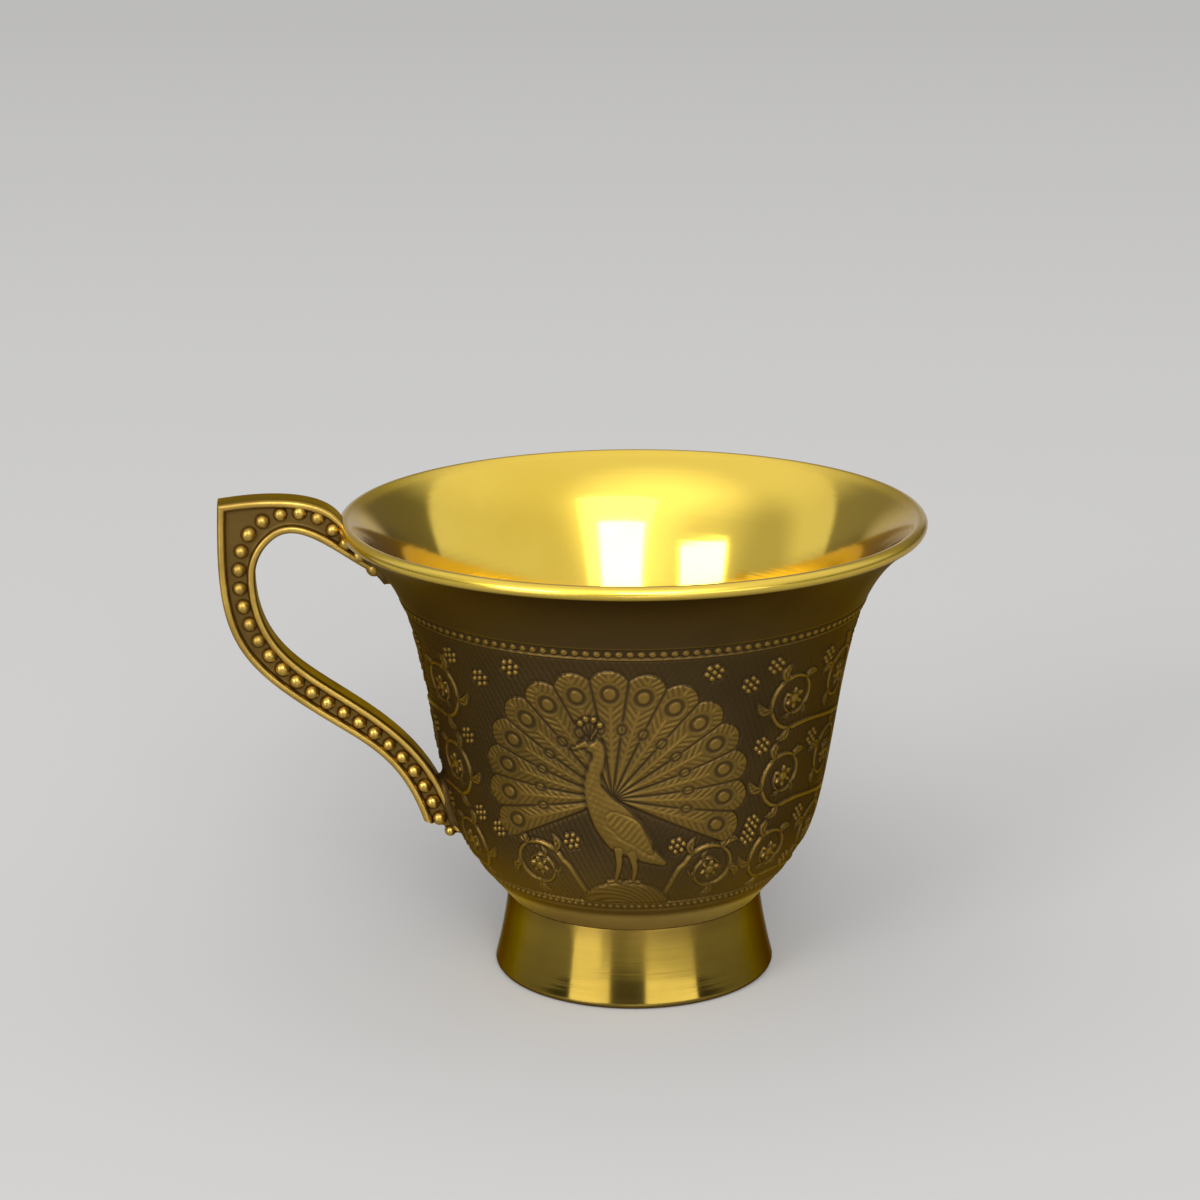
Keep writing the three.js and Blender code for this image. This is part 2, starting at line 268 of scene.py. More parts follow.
def closed_skin(name, rings, loop=False, sharp=40):
    """A piece from bodies of rings, (bodies, rows, columns, 3) in mm round the bowl's axis.

    The ends get a flat cap each, or with loop the last ring is joined to the first."""
    bodies, rows, columns = rings.shape[:3]
    flat = rings.reshape(bodies, rows * columns, 3)
    index = np.arange(rows * columns).reshape(rows, columns)
    index = np.concatenate([index, index[:, :1]], 1)
    if loop:
        parts = [grid_faces(np.concatenate([index, index[:1]]))]
    else:
        parts = [grid_faces(index), index[:1, -2::-1], index[-1:, :-1]]
    total = sum(volume(flat[0], part) for part in parts)
    turn = -1 if total < 0 else 1
    shift = np.arange(bodies)[:, None, None] * rows * columns
    faces = []
    for part in parts:
        faces += (part[None, :, ::turn] + shift).reshape(-1, part.shape[1]).tolist()
    piece = new_piece(name, flat.reshape(-1, 3), faces)
    piece.data.set_sharp_from_angle(angle=math.radians(sharp))
    print(name, len(piece.data.vertices), "points,", len(faces), "faces,", round(abs(total), 1), "mm3 each")
    return piece


def turned(angle, radius, height):
    """Places round the bowl's axis: x = r sin(a), y = -r cos(a), the angle a counted from the front."""
    return np.stack(np.broadcast_arrays(radius * np.sin(angle), -radius * np.cos(angle), height), -1)


def turned_rings(profile, columns):
    """A profile of radius and height, turned all the way round."""
    angle = np.linspace(0, 2 * np.pi, columns, endpoint=False)
    return turned(angle, profile[:, :1], profile[:, 1:])[None]


print("skins ready: a grid of 3 rows and 4 columns has", len(grid_faces(np.arange(12).reshape(3, 4))), "faces")

# %% [markdown]
# The bowl's outside is two swept curves: a steep underside that leaves the seat, and a wall that leans out and
# flares at the lip. Each is a cubic curve that holds its direction for a run at both ends. The inside is the
# same line moved in along its normals by the sheet's thickness, which swells to a round edge at the lip, and a
# little towards the round bottom.

# %% Profile of the bowl
SHEET = 1.2
SEAT = np.array([18.5, 11.5])
BELLY = np.array([26.8, 25.0])
LIP_THICKNESS = 2.0
LIP_ROLL = LIP_THICKNESS / 2
LIP_MIDDLE = np.array([42.0, 68.0]) - LIP_ROLL - (0.02, 0)
SEAT_RISE, WALL_RISE, LIP_RISE = 50.6, 76.6, 32.2
SEAT_RUN, BELLY_RUN, FLARE_RUN, LIP_RUN = 5.0, 6.0, 17.6, 14.0


def heading(degrees):
    """Unit directions at angles from level, counted upwards."""
    return np.stack([np.cos(np.radians(degrees)), np.sin(np.radians(degrees))], -1)


def cubic(start, after, before, end, t):
    """Curve from start to end, pulled by two places between: the weights are the terms of (1 - t) + t, cubed."""
    return start * (1 - t) ** 3 + after * 3 * t * (1 - t) ** 2 + before * 3 * t ** 2 * (1 - t) + end * t ** 3


def swept(start, leaving, leaving_run, end, reaching, reaching_run, steps):
    """Cubic curve from start to end that leaves and arrives along headings, held for the given runs."""
    t = np.linspace(0, 1, steps)[:, None]
    return cubic(start, start + leaving_run * heading(leaving), end - reaching_run * heading(reaching), end, t)


def lengths(path):
    """Distance along a path of points from its start."""
    return np.concatenate([[0], np.cumsum(np.hypot(*np.diff(path, axis=0).T))])


def evenly(path, count):
    """The same path, resampled at equal steps of length."""
    along = lengths(path)
    return np.stack([np.interp(np.linspace(0, along[-1], count), along, path[:, k]) for k in (0, 1)], -1)


def unit(vectors):
    """The same directions, each of length 1."""
    return vectors / np.linalg.norm(vectors, axis=1, keepdims=True)


def right_hand(path):
    """Unit normals to the right of the way a path runs."""
    step = unit(np.gradient(path, axis=0))
    return np.stack([step[:, 1], -step[:, 0]], -1)


wall_end = LIP_MIDDLE + LIP_ROLL * heading(LIP_RISE - 90)
underside = swept(SEAT, SEAT_RISE, SEAT_RUN, BELLY, WALL_RISE, BELLY_RUN, 400)
flare = swept(BELLY, WALL_RISE, FLARE_RUN, wall_end, LIP_RISE, LIP_RUN, 1200)
wall = evenly(np.concatenate([underside, flare[1:]]), 2400)
wall_normal = right_hand(wall)
wall_along = lengths(wall)


def on_wall(along, lift):
    """Radius and height of points a lift off the bowl's outside, at distances along its profile from the seat."""
    lifted = [lift * np.interp(along, wall_along, wall_normal[:, k]) for k in (0, 1)]
    return [np.interp(along, wall_along, wall[:, k]) + lifted[k] for k in (0, 1)]


def wall_radius(height):
    """Radius of the bowl's outside at a height."""
    return np.interp(height, wall[:, 1], wall[:, 0])


print("wall profile", round(wall_along[-1], 2), "mm long, lip radius", round(LIP_MIDDLE[0] + LIP_ROLL, 2))

# %% [markdown]
# The bowl's body carries the polished lining, the rounded lip, a plain dark zone above the etching, a bare
# brushed collar below it, and a shallow recess all round where the etched band lies. The band is a piece of its
# own because its lines need a mesh ten times finer than the plain metal does. Attributes on the points tell the
# finish where the dark patina, the collar and the wiped metal are.

# %% Bowl body
BAND_LOW, BAND_HIGH = 5.2, 49.4
COLLAR = 4.0
RECESS = 0.45
FLARE_LENGTH = lengths(flare)[-1]
BOTTOM_SWELL = 1.0
FLOOR_TOP = SEAT[1] + SHEET
CAP_RADIUS = 0.6
BOWL_COLUMNS = 256

low_zone = np.linspace(0, BAND_LOW, 16)
band_zone = np.linspace(BAND_LOW, BAND_HIGH, 60)
high_zone = np.linspace(BAND_HIGH, wall_along[-1], 44)
outside = np.concatenate([low_zone, band_zone, high_zone])
sunk = np.concatenate([0 * low_zone, 0 * band_zone - RECESS, 0 * high_zone])
outer_line = np.stack(on_wall(outside, sunk), -1)
lip_line = LIP_MIDDLE + LIP_ROLL * heading(np.linspace(LIP_RISE - 90, LIP_RISE + 90, 17)[1:-1])
inside = np.linspace(wall_along[-1], 0, 110)
up_wall = np.clip((inside - wall_along[-1] + FLARE_LENGTH) / FLARE_LENGTH, 0, 1)
thickening = (LIP_THICKNESS - SHEET) * up_wall ** 3
swell = BOTTOM_SWELL * np.interp(up_wall, [0.4, 0.8], [1, 0]) ** 2
lining = np.stack(on_wall(inside, -(SHEET + thickening + swell)), -1)
lining = lining[lining[:, 1] > FLOOR_TOP + 0.15]
knuckle = np.array([lining[-1] + (-0.35, -0.12), lining[-1] + (-0.9, -0.15)])
floor_line = np.stack([np.linspace(knuckle[-1][0] - 0.8, CAP_RADIUS, 14), np.full(14, FLOOR_TOP)], -1)
under_line = np.stack([np.linspace(CAP_RADIUS, SEAT[0] - 0.4, 12), np.full(12, SEAT[1])], -1)
bowl_profile = np.concatenate([under_line, outer_line, lip_line, lining, knuckle, floor_line])
bowl = closed_skin("bowl_body", turned_rings(bowl_profile, BOWL_COLUMNS))

bare = np.zeros(len(lining) + len(knuckle) + len(floor_line))
dark_outside = np.interp(outside, [COLLAR - 0.8, COLLAR + 0.4], [0, 1])
tones = {
    "patina": [np.zeros(len(under_line)), dark_outside, np.linspace(0.9, 0, len(lip_line)) ** 3, bare],
    "collar": [np.ones(len(under_line)), (outside < BAND_LOW) * 1.0, np.zeros(len(lip_line)), bare],
    "relief": [np.interp(bowl_profile[:, 1], [20, 50], [0.02, -0.05])],
}


def put_values(piece, name, values):
    """Keeps one number for each point of a piece, under a name that its finish can read."""
    piece.data.attributes.new(name, "FLOAT", "POINT").data.foreach_set("value", values)


for name, rows in tones.items():
    put_values(bowl, name, np.repeat(np.concatenate(rows), BOWL_COLUMNS))
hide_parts("bowl")

# %% [markdown]
# The etching is drawn by cutting the ground away and leaving the figures raised. Here the whole pattern is one
# height over the band unrolled flat, x millimetres round the bowl and y millimetres up the wall. Each figure is
# known by its distance field, which is below 0 inside its outline, and is laid over what is already there with
# a groove round it, as a graver leaves one.

# %% Strokes and raised forms
BAND_HEIGHT = BAND_HIGH - BAND_LOW
BAND_RADIUS = 29.0
REPEAT = math.pi * BAND_RADIUS
FAR_AWAY = 9.0
GROOVE_DEPTH, GROOVE_AT, SOFT_EDGE = 0.09, 0.12, 0.16


def ease(low, high, value):
    """0 at low, 1 at high, and a smooth cubic between them."""
    t = np.clip((value - low) / (high - low), 0, 1)
    return t * t * (3 - 2 * t)


def wave(turns):
    """Cosine of an angle that is counted in whole turns."""
    return np.cos(2 * np.pi * turns)


def bell(away, width):
    """1 in the middle, falling off on both sides as the exponential of minus the square of away over width."""
    return np.exp(-(away / width) ** 2)


def through(points, count):
    """A smooth path through points: cubic stretches whose end slopes follow the neighbouring points."""
    points = np.asarray(points, float)
    slope = np.gradient(points, axis=0)
    t = np.linspace(0, len(points) - 1, count)
    k = np.minimum(t.astype(int), len(points) - 2)
    f = (t - k)[:, None]
    a, b, p, q = points[k], points[k + 1], slope[k], slope[k + 1]
    return a + f * p + f ** 2 * (3 * (b - a) - 2 * p - q) + f ** 3 * (2 * (a - b) + p + q)


def stroke(x, y, path, half):
    """Distance to a path less its half width there, so it is below 0 on the stroke; one value far away from it."""
    half = np.interp(np.linspace(0, 1, len(path)), np.linspace(0, 1, np.size(half)), np.atleast_1d(half))
    reach = half.max() + 1.2
    low, high = path.min(0) - reach, path.max(0) + reach
    near = (x > low[0]) & (x < high[0]) & (y > low[1]) & (y < high[1])
    u, v = x[near], y[near]
    best = np.full(u.shape, FAR_AWAY)
    for (ax, ay), (bx, by), start, end in zip(path[:-1], path[1:], half[:-1], half[1:]):
        share = ((u - ax) * (bx - ax) + (v - ay) * (by - ay)) / ((bx - ax) ** 2 + (by - ay) ** 2)
        share = np.clip(share, 0, 1)
        away = np.hypot(u - ax - share * (bx - ax), v - ay - share * (by - ay))
        best = np.minimum(best, away - start - share * (end - start))
    field = np.full(x.shape, FAR_AWAY)
    field[near] = best
    return field


def raised(height, field, top, groove=0.28):
    """Lays a form on a height: a groove just outside its outline, and its own top inside."""
    outside = height - GROOVE_DEPTH * bell(field - GROOVE_AT, groove)
    return outside + ease(SOFT_EDGE, -SOFT_EDGE, field) * (top - outside)


def dome(field, rise, roundness):
    """Height of a rounded form from the depth inside its outline."""
    return rise * (1 - np.exp(np.minimum(field, 0) / roundness))


print("etched band", round(BAND_HEIGHT, 1), "mm high, pattern repeats every", round(REPEAT, 1), "mm")

# %% [markdown]
# On the front stands a peacock with its tail spread, an old ornament of brass workers. The fan is drawn in polar
# coordinates: the angle divided by a feather's angle gives the feather's number and the place across it, and the
# distance from the fan's middle gives the place along it. Every feather then gets a rounded tip, a shaft,
# slanting barbs, and an eye that is a ring round a disc; smaller eyes sit between the feathers.

# %% Spread tail
FAN_MIDDLE = np.array([-3.2, 20.6])
FAN_RADIUS = 19.6
FAN_FROM = -26.0
FEATHERS = 15
FEATHER_ANGLE = 15.5
BARB_PITCH = 1.05


def eye_relief(vane, away, ring, disc):
    """Lays an eye on a feather, by the distance from the eye's middle as a share of its size."""
    eye = ring * bell(away - 1, 0.18) + disc * ease(0.6, 0.4, away) - 0.06
    return vane + ease(1.25, 1.05, away) * (eye - vane)


def feather_fan(x, y, height):
    """Lays the spread tail on a height."""
    dx, dy = x - FAN_MIDDLE[0], y - FAN_MIDDLE[1]
    far = np.hypot(dx, dy)
    place = ((np.degrees(np.arctan2(dy, dx)) - FAN_FROM + 90) % 360 - 90) / FEATHER_ANGLE
    number = np.clip(np.floor(place), 0, FEATHERS - 1)
    half = math.radians(FEATHER_ANGLE / 2)
    aside = np.abs(np.radians((place - number - 0.5) * FEATHER_ANGLE) * far)
    inset = half * far - aside
    tip = FAN_RADIUS * (1 - half) + np.sqrt(np.maximum((half * FAN_RADIUS) ** 2 - aside ** 2, 0))
    barbs = 0.04 * wave((far - 1.1 * aside) / BARB_PITCH)
    barbs *= ease(0.1, 0.5, inset) * ease(0.12, 0.4, aside) * ease(4.0, 7.0, far)
    vane = 0.035 + barbs - 0.11 * bell(inset, 0.2) + 0.06 * bell(aside, 0.17)
    vane = eye_relief(vane, np.hypot((far - 16.0) / 1.75, aside / 1.5), 0.11, 0.13)
    between = np.clip(np.round(place), 1, FEATHERS - 1)
    beside = np.radians((place - between) * FEATHER_ANGLE) * far
    vane = eye_relief(vane, np.hypot((far - 10.6) / 1.15, beside / 0.85), 0.09, 0.1)
    return raised(height, np.maximum(far - tip, -inset), vane)


print("spread tail of", FEATHERS, "feathers,", FAN_RADIUS, "mm long")

# %% [markdown]
# The bird is a few tapering strokes: one from the head down the curved neck into the body, one for the rump, and
# one for the folded wing laid on top. Domed tops make it the highest form of the etching. Small scales on the
# body and quills on the wing are products of waves, faded out near the outlines.

# %% Peacock
HEAD = np.array([-5.9, 28.7])
NECK_LINE = [HEAD, (-5.2, 28.2), (-5.0, 26.6), (-5.7, 24.3), (-5.9, 21.9), (-4.9, 19.4), (-3.3, 17.0), (-1.6, 14.8),
             (0.4, 13.0)]
NECK_HALF = [1.15, 1.0, 0.85, 0.95, 1.3, 2.0, 2.9, 3.1, 2.2]
CREST = {118: 2.9, 100: 3.3, 82: 3.2, 64: 2.7}
SCALE_PITCH, QUILL_PITCH, TURF_PITCH = 1.3, 0.85, 0.95
LEGS = [((-2.6, 12.2), (-3.2, 7.0)), ((-0.6, 11.6), (-0.4, 7.0))]


def peacock(x, y, height):
    """Lays the bird, its crest, its legs and the mound under it on a height."""
    body = stroke(x, y, through(NECK_LINE, 48), NECK_HALF)
    rump = stroke(x, y, through([(-1.5, 14.4), (1.2, 12.0), (4.2, 10.2)], 16), [2.4, 1.5, 0.5])
    form = np.minimum(body, rump)
    scales = 0.03 * wave((x + 0.4 * y) / SCALE_PITCH) * wave((y - 0.4 * x) / SCALE_PITCH)
    height = raised(height, form, 0.02 + dome(form, 0.17, 0.9) + scales * ease(-0.2, -0.7, form), 0.34)
    wing = stroke(x, y, through([(-3.0, 17.2), (-0.8, 15.6), (2.2, 12.2)], 16), [1.25, 1.7, 0.35])
    quills = 0.045 * wave((x * 0.8 - y * 0.6) / QUILL_PITCH)
    height = raised(height, wing, 0.15 + quills * ease(-0.1, -0.4, wing), 0.25)
    beak = stroke(x, y, HEAD + np.array([[-0.9, 0.0], [-2.6, -0.8]]), [0.42, 0.08])
    height = raised(height, beak, 0.13)
    for lean, length in CREST.items():
        plume = HEAD + np.array([(0.0, 0.8), (0.0, 0.6) + length * heading(lean)])
        height = raised(height, stroke(x, y, plume, 0.1), 0.08)
        height = raised(height, np.hypot(x - plume[1][0], y - plume[1][1]) - 0.42, 0.14)
    height = height - 0.16 * bell(np.hypot(x - HEAD[0] + 0.3, y - HEAD[1] - 0.2), 0.3)
    for hip, toe in LEGS:
        leg = stroke(x, y, through([hip, np.add(hip, toe) / 2 + (0.35, 0.2), toe], 12), [0.6, 0.26])
        claws = stroke(x, y, toe + np.array([[-1.2, -0.3], [0.0, 0.0], [1.0, -0.3]]), 0.22)
        height = raised(height, np.minimum(leg, claws), 0.11)
    mound = np.hypot((x + 1.8) / 7.6, (y - 1.0) / 5.6)
    turf = 0.05 + 0.04 * wave((x * 0.45 + 6.5 * mound) / TURF_PITCH)
    return raised(height, (mound - 1) * 5.0, turf)


neck_length = lengths(through(NECK_LINE, 48))[-1]
print("peacock with", len(CREST), "crest plumes,", round(neck_length, 1), "mm from head to rump")

# %% [markdown]
# Between the two birds, which stand on the front and on the back, a flowering tree fills each side. It is made of
# a few figures used again and again: veined leaves, six-petalled blossoms, clusters of dots, and scrolls. A
# scroll is a spiral that leaves the trunk, winds inwards to a blossom and carries leaves along its outside.

# %% Flowering tree
VEIN_PITCH = 0.8


def blossom(x, y, height, middle, size, start):
    """Six petals: the outline's distance from the middle swells and shrinks with the cosine of six turns."""
    dx, dy = x - middle[0], y - middle[1]
    far, petal = np.hypot(dx, dy), np.cos(6 * (np.arctan2(dy, dx) - start))
    height = raised(height, far - size * (0.76 + 0.24 * petal), 0.07 + 0.05 * petal * ease(0.3, 0.8, far / size))
    return raised(height, far - 0.34 * size, 0.15)


def leaf(x, y, height, base, lean, size, curl):
    """A bent stroke, wide in the middle, with a rib along it and veins slanting from the rib."""
    spine = through([base, base + size * 0.5 * heading(lean + curl), base + size * heading(lean)], 14)
    form = stroke(x, y, spine, [0.12, size * 0.19, size * 0.23, size * 0.15, 0.05])
    way = heading(lean)
    run = (x - base[0]) * way[0] + (y - base[1]) * way[1]
    off = np.abs((y - base[1]) * way[0] - (x - base[0]) * way[1])
    veins = 0.04 * wave((run - off) / VEIN_PITCH) * ease(-0.05, -0.3, form)
    return raised(height, form, 0.06 + veins - 0.07 * bell(stroke(x, y, spine, 0.02), 0.16))


def dots(x, y, height, middle):
    """A cluster of seven small domes, six round one."""
    spots = [np.array(middle)] + [middle + 0.98 * heading(60 * k + 15) for k in range(6)]
    near = np.min([np.hypot(x - spot[0], y - spot[1]) for spot in spots], axis=0) - 0.4
    return raised(height, near, 0.06 + dome(near, 0.12, 0.3), 0.2)


SCROLL_TURN = 500
SCROLL_LEAVES = ((2, 2.7), (8, 3.1), (14, 2.9), (20, 2.6), (28, 1.5), (34, 1.4))


def scroll(x, y, height, middle, radius, start, way, root):
    """A stem from its root into a spiral, which turns by 500 degrees while its radius shrinks to a third."""
    share, root = np.linspace(0, 1, 44), np.array(root)
    angle = start + way * SCROLL_TURN * share
    spiral = middle + (radius * (1 - 0.66 * share))[:, None] * heading(angle)
    lead = spiral[0] - 0.45 * (spiral[3] - spiral[0]) * np.hypot(*(spiral[0] - root)) / radius
    stem = np.concatenate([through([root, lead, spiral[0]], 12)[:-1], spiral])
    height = raised(height, stroke(x, y, stem, [0.36, 0.3, 0.25, 0.15]), 0.1)
    for k, size in SCROLL_LEAVES:
        height = leaf(x, y, height, spiral[k], angle[k] + way * 52, size, -way * 26)
    return blossom(x, y, height, middle, radius * 0.36, math.radians(angle[-1]))


SCROLL_RADIUS = 4.7
BRANCH_HEIGHTS = (8.9, 20.9, 32.9)
TREE_DOTS = [(12.5, 6.0), (12.4, 13.6), (12.4, 25.4), (11.9, 37.8), (23.2, 14.6), (23.2, 26.6), (22.8, 38.9)]


def flowering_tree(x, y, height):
    """Two scrolls on each side of the trunk at every branch height, dots in the gaps, and a crown of leaves."""
    for up in BRANCH_HEIGHTS:
        for side in (-1, 1):
            near, far = (side * 6.7, up + 0.4), (side * 18.3, up)
            height = scroll(x, y, height, far, SCROLL_RADIUS, 90 + side * 160, side, (0.0, up - 6.6))
            height = scroll(x, y, height, near, SCROLL_RADIUS, 90 + side * 110, -side, (0.0, up - 5.6))
    trunk = through([(0, 1.5), (0.35, 9), (-0.35, 20), (0.3, 31), (0, 38)], 40)
    height = raised(height, stroke(x, y, trunk, [0.62, 0.42, 0.25]), 0.12)
    for k in range(-2, 3):
        height = leaf(x, y, height, np.array([0.0, 37.2]), 90 + 36 * k, 3.9 - 0.3 * abs(k), 0)
    for across, up in TREE_DOTS:
        height = dots(x, y, dots(x, y, height, (across, up)), (-across, up))
    return height


print("flowering tree with", 4 * len(BRANCH_HEIGHTS), "scrolls and", 2 * len(TREE_DOTS), "dot clusters")

# %% [markdown]
# The ground between the figures is hatched with short strokes in rows, so that it stays dark and dull against the
# smooth raised metal. Smaller scrolls and dots fill the corners under and over the spread tail, and a row of
# pearls between two fine lines closes the band above and below.

# %% Whole pattern
TREE_SHIFT = 4.0
CORNER_SCROLL_RADIUS = 4.5
HATCH_ROW = 0.95
HATCHES, PEARLS = 100, 70
CORNER_DOTS = [(-22.5, 13.0), (17.8, 12.6), (-21.6, 36.6), (15.2, 36.6), (-16.2, 39.4), (9.8, 39.4), (-9.6, 13.4),
               (6.2, 12.8)]


def borders(x, y, height):
    """Lays a groove, a row of pearls and a raised line along the bottom and the top of the band."""
    pearl = ((x / REPEAT * PEARLS) % 1 - 0.5) * REPEAT / PEARLS
    for up in (y, BAND_HEIGHT - y):
        height = np.where(up < 2.15, -0.05, height)
        height = raised(height, np.abs(up - 1.95) - 0.16, 0.06, 0.15)
        height = raised(height, np.hypot(pearl, up - 1.15) - 0.42, 0.09, 0.2)
        height = np.where(up < 0.5, -0.12 * bell(up - 0.42, 0.12), height)
    return height


def etching(x, y):
    """Height in mm of the whole pattern at places on the unrolled band."""
    front = (x + REPEAT / 2) % REPEAT - REPEAT / 2
    side = x % REPEAT - REPEAT / 2 + TREE_SHIFT
    row = np.floor(y / HATCH_ROW)
    hatch = wave(HATCHES * (x + 0.42 * y) / REPEAT) * np.cos(np.pi * (y / HATCH_ROW - row - 0.5))
    height = flowering_tree(side, y, -0.1 + 0.045 * hatch)
    height = scroll(front, y, height, (-15.6, 8.4), CORNER_SCROLL_RADIUS, 20, 1, (-8.4, 4.4))
    height = scroll(front, y, height, (11.8, 8.2), CORNER_SCROLL_RADIUS, 160, -1, (4.9, 4.4))
    for middle in CORNER_DOTS:
        height = dots(front, y, height, middle)
    height = peacock(front, y, feather_fan(front, y, height))
    return borders(x, y, height)


print("pattern ready:", HATCHES, "hatches,", PEARLS, "pearls and", len(CORNER_DOTS), "corner clusters to a repeat")

# %% [markdown]
# The band is laid on the bowl as four closed quarter slabs, each a grid whose outside is lifted off the wall by the
# etching. The grid is worked out one column wider at both ends, so that the normals at a seam know the metal on
# its other side and no seam shows. The heights also stay on the mesh as an attribute, for the patina.

# %% Etched panels
PANEL_COLUMNS, PANEL_ROWS, BACK_ROWS = 288, 300, 12
PANEL_BACK, BACK_RELIEF = -0.4, -0.1


def etched_panel(number):
    """A quarter of the band as a slab: the etched grid, a coarse back, and the four sides between them."""
    columns = np.arange(-1, PANEL_COLUMNS + 2) / PANEL_COLUMNS
    angle = (np.pi / 2) * (number - 0.5 + columns)[None]
    along = np.linspace(BAND_LOW, BAND_HIGH, PANEL_ROWS + 1)[:, None]
    relief = etching((angle + CUP_TURN) * BAND_RADIUS + 0 * along, along - BAND_LOW + 0 * angle)
    skin = turned(angle, *on_wall(along, relief))
    outward = np.cross(np.gradient(skin, axis=1), np.gradient(skin, axis=0))[:, 1:-1]
    skin, relief, angle = skin[:, 1:-1], relief[:, 1:-1], angle[:, 1:-1]
    behind = np.linspace(BAND_LOW, BAND_HIGH, BACK_ROWS + 1)[:, None]
    back = turned(angle, *on_wall(behind, PANEL_BACK))
    inward = 0 * back - turned(angle, 1.0, 0.0)
    front = np.arange(relief.size).reshape(relief.shape)
    rear = relief.size + np.arange(back[..., 0].size).reshape(back.shape[:2])
    parts = [
        np.concatenate([front[:, 0], rear[::-1, 0]])[None],
        np.concatenate([front[::-1, -1], rear[:, -1]])[None],
        grid_faces(front),
        grid_faces(rear)[:, [0, 3, 2, 1]],
        grid_faces(np.stack([front[-1], rear[-1]])),
        grid_faces(np.stack([front[0], rear[0]]))[:, [1, 0, 3, 2]],
    ]
    points = np.concatenate([skin.reshape(-1, 3), back.reshape(-1, 3)])
    panel = new_piece(f"etched_panel_{number}", points, sum((part.tolist() for part in parts), []))
    normals = unit(np.concatenate([outward.reshape(-1, 3), inward.reshape(-1, 3)]))
    panel.data.normals_split_custom_set_from_vertices(normals.tolist())
    heights = np.concatenate([relief.ravel(), np.full(back[..., 0].size, BACK_RELIEF)])
    put_values(panel, "relief", heights)
    put_values(panel, "patina", np.ones(len(heights)))
    print(panel.name, len(panel.data.polygons), "faces, relief", relief.min().round(2), "to", relief.max().round(2))
    return panel


panels = [etched_panel(number) for number in range(4)]

# %% [markdown]
# The foot is a second spinning: a waist that flares to a hem, hollow and open below, with a flange turned in
# at the top where it is soldered to the bowl. The outside follows one quadratic curve, and the inside is that
# curve moved in by the sheet's thickness. A small roll of solder shows inside, under the flange.

# %% Foot and its solder
FOOT_LOW = np.array([20.5, 0.8])
FOOT_WAIST = np.array([19.1, 6.2])
HEM_ROLL = 0.8
HEM_INNER = 17.9
FLANGE = 14.0
FOOT_COLUMNS, SOLDER_COLUMNS = 224, 160

t = np.linspace(0, 1, 60)[:, None]
foot_side = FOOT_LOW * (1 - t) ** 2 + FOOT_WAIST * 2 * t * (1 - t) + SEAT * t ** 2
hem = FOOT_LOW - (HEM_ROLL, 0) + HEM_ROLL * heading(np.linspace(-90, 0, 10)[:-1])
foot_inside = (foot_side - SHEET * right_hand(foot_side))[::-1]
foot_inside = foot_inside[(foot_inside[:, 1] > SHEET) & (foot_inside[:, 1] < SEAT[1] - SHEET)]
seam = np.array([[SEAT[0], SEAT[1] - 0.1], [SEAT[0] - 0.2, SEAT[1]]])
flange_edge = np.array([[FLANGE, SEAT[1]], [FLANGE, SEAT[1] - SHEET]])
hem_edge = np.array([[HEM_INNER, SHEET], [HEM_INNER, 0.12], [HEM_INNER + 0.12, 0.0]])
foot_profile = np.concatenate([hem, foot_side[:-2], seam, flange_edge, foot_inside, hem_edge])
foot = closed_skin("foot_body", turned_rings(foot_profile, FOOT_COLUMNS), loop=True)
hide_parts("foot")

SOLDER_LEG = 1.1
solder_corner = np.array([FLANGE - 0.3, SEAT[1]])
sag = np.linspace(0, np.pi / 2, 12)
solder_face = solder_corner - SOLDER_LEG * np.stack([1 - np.sin(sag), 1 - np.cos(sag)], -1)
solder_profile = np.concatenate([solder_face, solder_corner[None]])
solder = closed_skin("foot_solder_ring", turned_rings(solder_profile, SOLDER_COLUMNS), loop=True)
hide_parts("foot_solder")

# %% [markdown]
# The handle is one casting: a ribbon five millimetres thick, sunk between two raised rails. Its inner edge runs
# from under the lip round the head of the finger loop and down to the wall; its outer edge goes along the top to
# a sharp thumb corner and back down. Straight rulings join matching points of the two edges, so the wide part at
# the corner and the narrow arm come out of one rule.

# %% Edges of the handle
LOOP_HEAD = np.array([47.0, 60.5])
LOOP_RADIUS = 6.85
HANDLE_WIDTH = 4.5
ARCH_TOP = LOOP_HEAD[1] + LOOP_RADIUS + HANDLE_WIDTH
THUMB = np.array([58.8, ARCH_TOP - 0.65])
ARM_HEADING, TAIL_HEADING = 215.0, 252.0
ARM_INNER = np.array([43.05, 43.6])
ARM_OUTER = ARM_INNER + HANDLE_WIDTH * heading(ARM_HEADING + 90)
TAIL_HEIGHT, TOE_HEIGHT, ROOT_HEIGHT = 23.3, 21.3, 59.4
TAIL_CORNER = np.array([wall_radius(TAIL_HEIGHT) + HANDLE_WIDTH, TAIL_HEIGHT])
TAIL_INNER = TAIL_CORNER + HANDLE_WIDTH * heading(TAIL_HEADING - 90)
ROOT_LOW = np.array([wall_radius(ROOT_HEIGHT) - 0.6, ROOT_HEIGHT])
TOE = np.array([wall_radius(TOE_HEIGHT) - 0.4, TOE_HEIGHT])
SIDE_HEADING, ROOT_HEADING = -87.0, 18.0
ROOT_ANGLE, HEAD_ANGLE = 55.0, 42.0
TOP_SPLIT = 0.42
RULINGS = (90, 70, 70, 110, 120)
TOE_RULINGS = 14


def head_arc(radius, start, end, steps):
    """Points of the arc round the finger loop's head between two angles in degrees."""
    return LOOP_HEAD + np.reshape(radius, (-1, 1)) * heading(np.linspace(start, end, steps))


